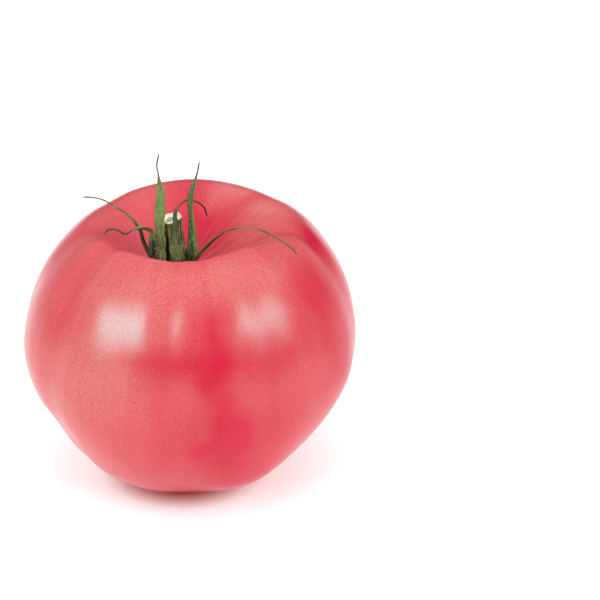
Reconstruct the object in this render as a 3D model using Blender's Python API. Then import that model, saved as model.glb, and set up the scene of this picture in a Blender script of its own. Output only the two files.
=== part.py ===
"""Pink beefsteak tomato as picked: the ribbed fruit, its star of green sepals and the cut stem stub.

Run in Blender 4.5, from the text editor or with blender --background --python part.py.
Blender units are metres and +Z is up. The origin is the middle of the small flat spot that the
fruit rests on. Front is -Y and right is +X. Azimuths are in degrees from the front towards the
right. Sizes below are in millimetres, and MM turns them into metres where meshes are made.
"""

import math
from collections import namedtuple

import bmesh
import bpy
from mathutils import Vector

MM = 0.001

# Fruit body. The dome is above the widest ring and the belly below it. Seen from the middle of
# that ring, the skin's distance grows by the shape's numbers times the second, fourth and sixth
# power of the sine of the angle above or below the ring.
FRUIT_WIDTH = 99.8
FRUIT_DEPTH = 96.6
WIDEST_HEIGHT = 44.6
DOME_SHAPE = (-1.85, 4.2, -0.3)
BELLY_SHAPE = (-9.7, 9.25, -3.15)
DOME_LEAN = Vector((0.051, 0.031))
BODY_CENTRE = Vector((2.4, 4.7))

# Basin that the calyx sits in, which is nearer to the front and wider behind than in front
SEAT_HEIGHT = 70.8
SEAT_RADIUS = 7.0
SEAT_CENTRE = Vector((-1.3, -0.6))
FRONT_REACH, BACK_REACH = 12.2, 18.0
BASIN_STEEPNESS = 2.0
SHIFT_REACH = 13.3

# Grooves between the ribs: azimuth, depth at full strength, half width in degrees, and how much
# of the groove there still is below the shoulder
Groove = namedtuple("Groove", "azimuth depth width low")
GROOVES = (
    Groove(-130, 0.7, 11, 0.1),
    Groove(-88, 0.8, 9, 0.1),
    Groove(-55, 1.5, 8, 0.4),
    Groove(-10, 1.1, 8, 0.0),
    Groove(9, 0.9, 7, 0.2),
    Groove(31, 0.5, 5, 0.1),
    Groove(52, 0.3, 7, 0.0),
    Groove(84, 1.4, 8, 0.15),
    Groove(138, 0.5, 11, 0.0),
)
# Strength of the grooves up the profile, at degrees above the widest ring, and the middle and
# half height of their low part
GROOVE_STRENGTH = ((-80, 0.0), (-45, 0.1), (0, 0.35), (25, 0.8), (42, 1.0), (56, 0.6), (68, 0.15), (80, 0.0))
LOW_MIDDLE, LOW_SPREAD = -8.0, 38.0

# Broad dents and, with a negative depth, swellings: azimuth and half width, degrees up the
# profile and half height, and depth
Dent = namedtuple("Dent", "azimuth width rise height depth")
DENTS = (
    Dent(-16, 60, 64, 20, 3.2),
    Dent(2, 16, -38, 20, 2.0),
    Dent(85, 40, -6, 12, -0.95),
    Dent(-85, 40, -27, 12, 1.9),
    Dent(-92, 26, 38, 16, 1.0),
    Dent(90, 26, 38, 16, 0.95),
    Dent(-176, 26, 58, 15, -1.25),
    Dent(30, 22, -40, 13, -2.0),
)
# Degrees from each end of the profile over which grooves and dents fade out
END_FADE = 8.0

FRUIT_ROWS = 34
FRUIT_SIDES = 96
PROFILE_SAMPLES = 400

# Calyx disc and the cut stem on it
CONTACT_GAP = 0.3
DISC_RADIUS = 6.4
DISC_THICKNESS = 2.2
DISC_EDGE = 0.5
DISC_SIDES = 32
STEM_HEIGHT = 13.5
STEM_SIDES = 30
STEM_RIDGES = 5
STEM_RIDGE_SHARE = 0.06
STEM_CUT_SLOPE = 0.28
STEM_PITH_SHARE = 0.55
STEM_PITH_DIP = 0.5
STEM_LEAN = -0.5
# Radius of the stem up its height, from its flared foot to the cut
STEM_OUTLINE = ((0.0, 4.1), (0.12, 3.85), (0.3, 3.5), (0.6, 3.25), (0.85, 3.15), (0.97, 3.15), (1.0, 2.95))

# Sepals. A spine runs from the root in the disc to the tip, as points right, back and up from
# the middle of the disc's underside. facing is the azimuth that the outer face of the blade
# looks at, and widths are the blade's width at shares of the spine's length.
SEPAL_THREAD = 0.7
Sepal = namedtuple("Sepal", "name facing widths spine")
SEPALS = (
    Sepal("front", 5, ((0.0, 4.4), (0.18, 4.2), (0.36, 1.8), (0.46, 1.2), (0.54, SEPAL_THREAD)), (
        (1.6, -4.8, 0.8), (1.7, -5.4, 3.8), (1.5, -5.0, 8.6), (1.2, -4.5, 14.6), (1.2, -4.0, 19.6),
        (3.1, -1.2, 21.4), (5.5, 3.3, 20.1), (8.5, 7.6, 15.8), (9.8, 9.2, 11.4))),
    Sepal("front_left", -22, ((0.0, 3.0), (0.22, 2.9), (0.52, 3.5), (0.66, 2.6), (0.84, SEPAL_THREAD)), (
        (-3.1, -4.3, 0.8), (-3.5, -4.6, 4.2), (-3.6, -4.1, 9.7), (-3.7, -3.4, 17.4), (-3.2, -3.0, 25.4),
        (-3.5, -3.2, 31.4), (-3.8, -3.0, 34.8), (-3.1, -2.0, 38.0))),
    Sepal("left", -36, ((0.0, 2.8), (0.26, 3.3), (0.4, 1.9), (0.55, 1.6), (0.66, SEPAL_THREAD)), (
        (-5.0, -1.2, 0.8), (-6.0, -1.6, 2.4), (-6.1, -1.4, 8.9), (-6.3, -1.3, 12.2), (-8.3, -2.4, 14.0),
        (-11.0, -5.4, 15.0), (-13.2, -8.5, 15.1), (-15.4, -9.8, 17.3), (-17.8, -10.7, 17.7),
        (-19.2, -11.1, 16.3))),
    Sepal("back_left", -125, ((0.0, 2.4), (0.2, 1.6), (0.5, 1.0), (0.65, SEPAL_THREAD)), (
        (-4.2, 2.8, 0.8), (-6.8, 3.0, 1.4), (-9.0, 3.3, 6.0), (-10.3, 4.0, 10.5), (-14.3, 5.1, 14.9),
        (-20.2, 8.3, 17.1), (-23.8, 10.7, 17.1), (-27.3, 12.5, 16.2))),
    Sepal("back", 172, ((0.0, 3.0), (0.5, 2.2), (0.9, SEPAL_THREAD)), (
        (0.2, 4.8, 0.8), (0.1, 6.4, 1.6), (-0.3, 8.2, 3.6), (-0.8, 10.2, 5.6), (-1.2, 11.8, 7.0))),
    Sepal("right", 42, ((0.0, 3.2), (0.14, 4.3), (0.5, 2.0), (0.68, 2.4), (0.92, SEPAL_THREAD)), (
        (5.0, -1.0, 0.8), (6.0, -1.3, 3.0), (5.9, -0.2, 9.0), (5.6, 1.2, 15.2), (5.4, 1.7, 20.4),
        (6.3, 2.0, 24.9), (7.4, 2.8, 29.2), (8.1, 4.0, 32.4))),
    Sepal("front_right", 62, ((0.0, 2.8), (0.15, 2.0), (0.32, 1.4), (0.48, SEPAL_THREAD)), (
        (4.3, -2.7, 0.8), (5.9, -3.4, 3.2), (9.4, -4.6, 8.6), (14.2, -6.8, 14.0), (18.9, -8.8, 17.0),
        (24.5, -11.0, 18.0), (29.8, -13.0, 16.6), (34.2, -14.4, 14.2), (36.4, -15.6, 12.3))),
)
SEPAL_THICKNESS = 0.7
SEPAL_KEEL = 0.2
SEPAL_STATION_SPACING = 1.6
SPINE_SAMPLES = 200

# Colours as red, green and blue in linear light, with roughness
PINK_SKIN = ((0.78, 0.035, 0.075), 0.35)
GREEN_SEPAL = ((0.10, 0.17, 0.04), 0.7)
GREEN_BARK = ((0.11, 0.13, 0.04), 0.75)


def smooth_step(x):
    x = min(1.0, max(0.0, x))
    return x * x * (3 - 2 * x)


def along(table, x):
    """Reads a table of (place, value) pairs at x, easing smoothly from each pair to the next."""
    for (x0, v0), (x1, v1) in zip(table, table[1:]):
        if x <= x1:
            return v0 + (v1 - v0) * smooth_step((x - x0) / (x1 - x0))
    return table[-1][1]


def polar(azimuth, radius):
    turn = math.radians(azimuth)
    return Vector((radius * math.sin(turn), -radius * math.cos(turn)))


def curve_point(points, t):
    """A point on the smooth curve through points, with t from 0 to 1."""
    last = len(points) - 1
    place = min(t * last, last - 1e-9)
    i = int(place)
    f = place - i
    p1, p2 = points[i], points[i + 1]
    p0 = points[i - 1] if i > 0 else 2 * p1 - p2
    p3 = points[i + 2] if i + 2 <= last else 2 * p2 - p1
    return 0.5 * ((2 * p1) + (p2 - p0) * f + (2 * p0 - 5 * p1 + 4 * p2 - p3) * f * f
                  + (3 * p1 - p0 - 3 * p2 + p3) * f ** 3)


def even_steps(points, count):
    """count + 1 points spaced evenly by length along the line through points."""
    run = [0.0]
    for a, b in zip(points, points[1:]):
        run.append(run[-1] + (b - a).length)
    steps = []
    i = 0
    for k in range(count + 1):
        want = run[-1] * k / count
        while i < len(run) - 2 and run[i + 1] < want:
            i += 1
        steps.append(points[i].lerp(points[i + 1], (want - run[i]) / (run[i + 1] - run[i])))
    return steps


def material(name, colour, roughness):
    made = bpy.data.materials.new(name)
    made.use_nodes = True
    shader = made.node_tree.nodes["Principled BSDF"]
    shader.inputs["Base Color"].default_value = (*colour, 1.0)
    shader.inputs["Roughness"].default_value = roughness
    shader.inputs["Metallic"].default_value = 0.0
    made.diffuse_color = (*colour, 1.0)
    return made


def object_of(name, mesh, look, sharp_angle):
    mesh.shade_smooth()
    mesh.set_sharp_from_angle(angle=math.radians(sharp_angle))
    mesh.materials.append(look)
    made = bpy.data.objects.new(name, mesh)
    bpy.context.scene.collection.objects.link(made)
    return made


def lofted(name, rings, turned_sides=()):
    """A closed mesh through rings of points in millimetres, with flat ends.

    Its squares are all split along the same diagonal, except that the turned sides are split
    along the other one, which keeps the two faces of a thin blade alike.
    """
    work = bmesh.new()
    loops = [[work.verts.new(p * MM) for p in ring] for ring in rings]
    for low, high in zip(loops, loops[1:]):
        for i in range(len(low)):
            j = (i + 1) % len(low)
            near, far = (high[i], low[j]) if i in turned_sides else (high[j], low[i])
            work.faces.new((low[i], low[j], near))
            work.faces.new((far, high[j], high[i]))
    work.faces.new(loops[0][::-1])
    work.faces.new(loops[-1])
    bmesh.ops.recalc_face_normals(work, faces=work.faces)
    mesh = bpy.data.meshes.new(name)
    work.to_mesh(mesh)
    work.free()
    return mesh


def bare_profile(rise):
    """Radius and height at degrees above the widest ring, before the basin is pressed in."""
    turn = math.radians(rise)
    shape = DOME_SHAPE if rise >= 0 else BELLY_SHAPE
    away = FRUIT_WIDTH / 2 + sum(term * math.sin(turn) ** (2 * k + 2) for k, term in enumerate(shape))
    return Vector((away * math.cos(turn), WIDEST_HEIGHT + away * math.sin(turn)))


def crossing(measure, low, high):
    """Where measure, which rises or falls steadily from low to high, passes through nothing."""
    rising = measure(high) > measure(low)
    for _ in range(50):
        middle = (low + high) / 2
        if (measure(middle) < 0) == rising:
            low = middle
        else:
            high = middle
    return low


# Degrees above the widest ring of the edge of the flat spot, and of the seat's edge
RESTING_RISE = crossing(lambda rise: bare_profile(rise).y, -90, 0)
SEATED_RISE = crossing(lambda rise: bare_profile(rise).x - SEAT_RADIUS, 45, 90)


def backness(azimuth):
    """Nothing in front and 1 behind, which says how wide the basin is on that side."""
    return smooth_step(0.8 * (1 - math.cos(math.radians(azimuth))))


def profile_point(azimuth, rise):
    """Radius and height of the fruit's profile, at degrees above the widest ring."""
    place = bare_profile(rise)
    if rise > 0:
        reach = FRONT_REACH + (BACK_REACH - FRONT_REACH) * backness(azimuth)
        beyond = max(0.0, place.x - SEAT_RADIUS) / reach
        pressed = bare_profile(SEATED_RISE).y - SEAT_HEIGHT
        place.y -= pressed * math.exp(-beyond ** BASIN_STEEPNESS)
    return place


def pressed_in(azimuth, rise):
    """How far the grooves and dents press the skin in, which is nothing at the profile's ends."""
    def bell(centre, width, angle):
        return math.exp(-(((angle - centre + 180) % 360 - 180) / width) ** 2)
    upper = along(GROOVE_STRENGTH, rise)
    lower = math.exp(-((rise - LOW_MIDDLE) / LOW_SPREAD) ** 2)
    grooves = sum(g.depth * bell(g.azimuth, g.width, azimuth) * (upper + g.low * lower) for g in GROOVES)
    dents = sum(d.depth * bell(d.azimuth, d.width, azimuth) * bell(d.rise, d.height, rise) for d in DENTS)
    fade = smooth_step((rise - RESTING_RISE) / END_FADE) * smooth_step((SEATED_RISE - rise) / END_FADE)
    return fade * (grooves + dents)


def ring_centre(radius, height):
    """Where the middle of a ring of the fruit is: the body leans, and the basin is off centre."""
    if height < WIDEST_HEIGHT:
        full, flat = FRUIT_WIDTH / 2, bare_profile(RESTING_RISE).x
        return BODY_CENTRE * ((radius ** 2 - flat ** 2) / (full ** 2 - flat ** 2))
    inward = math.exp(-((radius - SEAT_RADIUS) / SHIFT_REACH) ** 2)
    lean = DOME_LEAN * (height - WIDEST_HEIGHT)
    return (BODY_CENTRE + lean).lerp(SEAT_CENTRE, inward)


def fruit_point(azimuth, rise):
    """A point of the skin: on the profile, pressed in square to it, and turned to the azimuth."""
    place = profile_point(azimuth, rise)
    run = profile_point(azimuth, min(rise + 0.05, SEATED_RISE))
    run -= profile_point(azimuth, max(rise - 0.05, RESTING_RISE))
    inward = Vector((-run.y, run.x)).normalized() * pressed_in(azimuth, rise)
    flat = polar(azimuth, place.x + inward.x)
    flat.y *= FRUIT_DEPTH / FRUIT_WIDTH
    centre = ring_centre(place.x, place.y)
    return Vector((centre.x + flat.x, centre.y + flat.y, place.y + inward.y))


def row_rises():
    """Degrees above the widest ring of the fruit's rows, spaced evenly along its right profile."""
    span = SEATED_RISE - RESTING_RISE
    fine = [RESTING_RISE + span * k / PROFILE_SAMPLES for k in range(PROFILE_SAMPLES + 1)]
    places = [profile_point(90, rise) for rise in fine]
    run = [0.0]
    for a, b in zip(places, places[1:]):
        run.append(run[-1] + (b - a).length)
    rises = []
    for row in range(FRUIT_ROWS + 1):
        want = run[-1] * row / FRUIT_ROWS
        k = next(k for k in range(PROFILE_SAMPLES) if run[k + 1] >= want - 1e-9)
        rises.append(fine[k] + (fine[k + 1] - fine[k]) * (want - run[k]) / (run[k + 1] - run[k]))
    return rises


def make_fruit():
    rings = [[fruit_point(360 * side / FRUIT_SIDES, rise) for side in range(FRUIT_SIDES)]
             for rise in row_rises()]
    return object_of("fruit", lofted("fruit", rings), material("pink_skin", *PINK_SKIN), 60)


def make_seat_frame():
    """An empty at the middle of the calyx's underside, which carries the calyx and the stem."""
    empty = bpy.data.objects.new("calyx_seat", None)
    empty.location = Vector((*SEAT_CENTRE, SEAT_HEIGHT + CONTACT_GAP)) * MM
    bpy.context.scene.collection.objects.link(empty)
    return empty


def disc_mesh():
    """The thickened disc that the sepals grow from, with its edges eased."""
    outline = ((DISC_RADIUS - DISC_EDGE, 0.0), (DISC_RADIUS, DISC_EDGE),
               (DISC_RADIUS, DISC_THICKNESS - DISC_EDGE), (DISC_RADIUS - DISC_EDGE, DISC_THICKNESS))
    rings = [[Vector((*polar(360 * side / DISC_SIDES, radius), height)) for side in range(DISC_SIDES)]
             for radius, height in outline]
    return lofted("calyx_disc", rings)


def sepal_mesh(sepal):
    """A blade folded a little along its keel, as rings of six points, thinning to a thread."""
    points = [Vector(p) for p in sepal.spine]
    fine = [curve_point(points, k / SPINE_SAMPLES) for k in range(SPINE_SAMPLES + 1)]
    length = sum((b - a).length for a, b in zip(fine, fine[1:]))
    count = round(length / SEPAL_STATION_SPACING)
    spine = even_steps(fine, count)
    across = Vector((-polar(sepal.facing, 1).y, polar(sepal.facing, 1).x, 0.0))
    thick = SEPAL_THICKNESS / 2
    rings = []
    for k, place in enumerate(spine):
        run = (spine[min(k + 1, count)] - spine[max(k - 1, 0)]).normalized()
        side = (across - run * run.dot(across)).normalized()
        out = side.cross(run)
        half = along(sepal.widths, k / count) / 2
        keel = SEPAL_KEEL * smooth_step(half / thick - 1) * half
        inner = [place + side * s * half + out * (keel * (1 - 2 * abs(s)) - thick) for s in (-1, 0, 1)]
        rings.append(inner + [p + out * 2 * thick for p in reversed(inner)])
    return lofted(sepal.name, rings, turned_sides=(3, 4))


def make_calyx(seat):
    """The disc with its sepals, joined in one solid."""
    calyx = object_of("calyx", disc_mesh(), material("green_sepal", *GREEN_SEPAL), 40)
    parts = bpy.data.collections.new("sepals")
    bpy.context.scene.collection.children.link(parts)
    for sepal in SEPALS:
        parts.objects.link(bpy.data.objects.new(sepal.name, sepal_mesh(sepal)))
    join = calyx.modifiers.new("join_sepals", "BOOLEAN")
    join.operation = "UNION"
    join.solver = "EXACT"
    join.operand_type = "COLLECTION"
    join.collection = parts
    bpy.context.view_layer.update()
    graph = bpy.context.evaluated_depsgraph_get()
    joined = bpy.data.meshes.new_from_object(calyx.evaluated_get(graph))
    calyx.modifiers.clear()
    calyx.data = joined
    for blade in list(parts.objects):
        bpy.data.objects.remove(blade)
    bpy.data.collections.remove(parts)
    calyx.parent = seat
    return calyx


def stem_ring(share, radius):
    ring = []
    for side in range(STEM_SIDES):
        azimuth = 360 * side / STEM_SIDES
        ridge = STEM_RIDGE_SHARE * math.cos(math.radians(STEM_RIDGES * azimuth))
        place = polar(azimuth, radius * (1 + ridge))
        height = STEM_HEIGHT * share + STEM_CUT_SLOPE * place.x * share ** 3
        ring.append(Vector((place.x + STEM_LEAN * share, place.y, height)))
    return ring


def make_stem(seat):
    """The stub of the stalk, flared at its foot, ridged, and cut across at a slant."""
    rings = [stem_ring(share, radius) for share, radius in STEM_OUTLINE]
    middle = sum(rings[-1], Vector()) / STEM_SIDES
    rings.append([middle.lerp(p, STEM_PITH_SHARE) - Vector((0, 0, STEM_PITH_DIP)) for p in rings[-1]])
    stem = object_of("stem", lofted("stem", rings), material("green_bark", *GREEN_BARK), 40)
    stem.parent = seat
    stem.location = (0.0, 0.0, (DISC_THICKNESS + CONTACT_GAP) * MM)
    return stem


def main():
    for old in list(bpy.data.objects):
        bpy.data.objects.remove(old)
    make_fruit()
    seat = make_seat_frame()
    make_calyx(seat)
    make_stem(seat)


main()
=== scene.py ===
"""Pink beefsteak tomato as picked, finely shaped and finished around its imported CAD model.

Laid out as a Blender add-on and run as a script. Every piece is a surface worked out with numpy
from the same formulas and sizes as the CAD solid that it stands for, but for one groove in front.
Shape tables are in millimetres and degrees, and MM turns them into metres where a mesh is made.
Front is -Y, right is +X, and azimuths turn from the front towards the right.
"""

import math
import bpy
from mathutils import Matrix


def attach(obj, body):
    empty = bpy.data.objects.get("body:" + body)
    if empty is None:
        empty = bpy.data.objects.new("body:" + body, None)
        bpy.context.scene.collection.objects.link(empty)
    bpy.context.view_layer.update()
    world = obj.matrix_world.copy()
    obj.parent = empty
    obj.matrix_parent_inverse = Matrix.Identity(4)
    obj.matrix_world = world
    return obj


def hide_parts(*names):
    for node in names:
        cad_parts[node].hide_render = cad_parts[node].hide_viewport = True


bl_info = {
    "name": "Pink beefsteak tomato",
    "version": (1, 0, 0),
    "blender": (4, 5, 0),
    "location": "View3D > Sidebar > Tomato",
    "description": "Grows a ribbed pink tomato with its calyx and stem stub, and sets up its stage",
    "category": "Object",
}

from collections import namedtuple
from functools import partial

import bpy
import numpy as np
from mathutils import Quaternion, Vector

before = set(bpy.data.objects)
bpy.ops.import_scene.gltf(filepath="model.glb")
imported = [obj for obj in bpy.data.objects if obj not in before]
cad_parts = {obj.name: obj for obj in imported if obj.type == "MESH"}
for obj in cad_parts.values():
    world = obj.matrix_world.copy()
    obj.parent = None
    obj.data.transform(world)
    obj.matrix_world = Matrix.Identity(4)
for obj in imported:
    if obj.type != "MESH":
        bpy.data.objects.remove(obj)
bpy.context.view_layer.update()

MM = 0.001

# Fruit body, seen from the middle of its widest ring: the skin's distance grows by the shape's
# numbers times the second, fourth and sixth power of the sine of the angle above or below it
DOME_SHAPE = (-1.85, 4.2, -0.3)
BELLY_SHAPE = (-9.7, 9.25, -3.15)
DOME_LEAN = np.array((0.051, 0.031))
BODY_CENTRE = np.array((2.4, 4.7))
SEAT_CENTRE = np.array((-1.3, -0.6))
# How far the basin reaches beyond its seat in front and behind, how sharply it is rounded, and
# how far out it still pulls the rings towards its own middle
FRONT_REACH, BACK_REACH = 12.2, 18.0
BASIN_STEEPNESS = 2.0
SHIFT_REACH = 13.3

# Grooves between the ribs: azimuth, depth, half width, and how much of it stays below the shoulder
GROOVES = (
    (-130, 0.7, 11, 0.1), (-88, 0.8, 9, 0.1), (-55, 1.5, 8, 0.4),
    (-7, 0.9, 7, 0.0), (9, 0.9, 7, 0.2), (31, 0.5, 5, 0.1),
    (52, 0.3, 7, 0.0), (84, 1.4, 8, 0.15), (138, 0.5, 11, 0.0),
)
# Their strength at degrees up the profile, and the middle and spread of the share that stays low
GROOVE_STRENGTH = (
    (-80, 0.0), (-45, 0.1), (0, 0.35), (25, 0.8), (42, 1.0), (56, 0.6), (68, 0.15), (80, 0.0))
LOW_MIDDLE, LOW_SPREAD = -8.0, 38.0

# DENTS, WAX_AND_PAINTED_LIGHT_SPOTS and MATT_CRESTS list spots on the skin: azimuth and half
# width, degrees up the profile and half height, and an amount. A dent's is its depth, below nothing
# for a swelling.
DENTS = (
    (-16, 60, 64, 20, 3.2), (2, 16, -38, 20, 2.0), (85, 40, -6, 12, -0.95),
    (-85, 40, -27, 12, 1.9), (-92, 26, 38, 16, 1.0), (90, 26, 38, 16, 0.95),
    (-176, 26, 58, 15, -1.25), (30, 22, -40, 13, -2.0),
)
# All relief fades out over this many degrees towards the flat spot and the seat
END_FADE = 8.0

# Waxy bloom and painted reflections, which make the skin paler: how much there is, and by how much
# that is more or less. Spots paint highlights and reflections paler, and painted shade deeper red,
# where the skin would mirror bright or dark surroundings
EVEN_WAX_AND_PAINTED_LIGHT = 0.54
WAX_AND_PAINTED_LIGHT_SPOTS = (
    (-6, 15, 19, 6, -0.28), (14, 9, 22, 9, -0.28), (36, 18, 15, 6, -0.2), (36, 9, 28, 9, -0.25),
    (12, 6, 5, 11, -0.24), (17, 9, -8, 13, -0.22), (15, 7, -12, 9, -0.34), (10, 70, -50, 20, -0.36),
    (-4, 4, 31, 8, 0.16), (22, 44, -22, 20, -0.34), (62, 12, 34, 16, -0.35), (68, 12, 2, 22, -0.45),
    (-26, 14, 28, 14, 0.15), (-26, 16, 9, 9, 0.38), (-12, 10, 34, 10, 0.15), (28, 14, 32, 10, 0.1),
    (-50, 22, 4, 34, 0.36), (-56, 14, 42, 12, 0.2), (-66, 9, 0, 26, 0.22), (10, 44, 46, 11, 0.46),
    (-48, 14, 48, 9, 0.12), (150, 60, 50, 9, 0.46), (165, 34, 66, 9, -0.35), (110, 30, 68, 12, 0.15),
    (97, 12, 44, 12, -0.55), (126, 14, 58, 4, 0.3), (140, 7, 54, 8, -0.3), (178, 9, 52, 10, -0.25),
)
# Painted shade: how much less of the pale haze there is in a deep groove, in the basin above a rise,
# and along its creases, so that they are a deeper red
GROOVE_PAINTED_SHADE, DEEP_GROOVE = 0.3, 1.4
BASIN_PAINTED_SHADE, BASIN_RISE = 0.35, 62.0
CREASE_PAINTED_SHADE = 0.25
RISE_EASE = 14.0
# The outlines of the wax and painted light wander by a few degrees, in waves of these lengths
SPOT_DRIFT = 2.2
SPOT_DRIFT_LENGTHS = (9.0, 30.0)
# Painted light on the basin's left wall, which lies in shade: the lighter red there, its azimuth,
# half width, lower edge and share
WELL_AZIMUTH, WELL_WIDTH, WELL_RISE, WELL_SHARE = -100.0, 55.0, 56.0, 0.75
# Crests of two ribs where the skin is matt, and the roughness that this adds
MATT_CRESTS = ((76, 12, 36, 26, 1.0), (-84, 10, 42, 16, 1.0))
MATT_ROUGHNESS = 0.3

# Fine creases that run up the basin's wall from the seat
CREASES = 31
CREASE_DEPTH = 0.12
CREASE_STRENGTH = ((58, 0.0), (68, 0.35), (78, 1.0), (90, 1.0))
# Gentle unevenness of the skin: number of waves, and their lengths and height
WAVES = 24
WAVE_LENGTHS = (9.0, 26.0)
WAVE_HEIGHT = 0.035
SKIN_SEED = 11

# Points round the skin and up it, and rings of the flat spot and of the seat
FRUIT_COLUMNS = 330
FRUIT_ROWS = 262
FLAT_ROWS = 14
SEAT_ROWS = 8
PROFILE_SAMPLES, SLOPE_STEP = 4001, 0.05
# Rings shrink to this share at a pole, where a fan closes them
POLE_SHARE = 0.02
# Blossom scar under the fruit, and where the cork round the seat ends
SCAR_RADIUS = 2.6
SCAR_RISE = 0.7
CORK_RADII = (7.0, 8.6)
# Streaks: how often they change round the fruit and up it
STREAK_TURN, STREAK_RISE = 12.0, 3.5

# Calyx disc: radius and height of its outline from the middle of the underside to that of the top
DISC_OUTLINE = (
    (0.0, 0.0), (3.0, 0.0), (5.4, 0.0), (6.15, 0.25), (6.4, 0.8), (6.35, 1.5), (6.0, 2.0),
    (5.2, 2.2), (3.0, 2.2), (0.0, 2.2))
DISC_THICKNESS = 2.2
DISC_COLUMNS, DISC_ROWS = 120, 60
# Its swelling towards each sepal, the height of its lumps, and how dark and dry it is
DISC_SWELL, SWELL_WIDTH = 0.05, 14
DISC_LUMPS = 0.12
DISC_DARK, DISC_DRY = 0.75, 0.3
# Gap between fruit and calyx, and between calyx and stem
CONTACT_GAP = 0.3

# Stem stub: radius at shares of its height, from its flared foot to the cut
STEM_OUTLINE = (
    (0.0, 4.1), (0.12, 3.85), (0.3, 3.5), (0.6, 3.25), (0.85, 3.15), (0.97, 3.15), (1.0, 2.95))
STEM_HEIGHT = 13.5
# Its ridges and their height as a share of the radius, the slope of the cut, and the stub's lean
STEM_RIDGES, STEM_RIDGE_SHARE = 5, 0.06
STEM_CUT_SLOPE = 0.28
STEM_LEAN = -0.5
STEM_COLUMNS, STEM_ROWS, CUT_ROWS = 160, 110, 36
# Fine furrows of the bark: shares of the radius, and how far they wander
FURROWS = (0.022, 0.016)
FURROW_WANDER = 0.25
# The cut's face: how deep it dips, how far its core stands up again, and its torn fibres
CUT_DIP, CORE_RISE = 0.55, 0.3
TORN_HEIGHT, TORN_SEED, TORN_WAVES, TORN_LENGTHS = 0.14, 41, 14, (0.9, 2.6)

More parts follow.
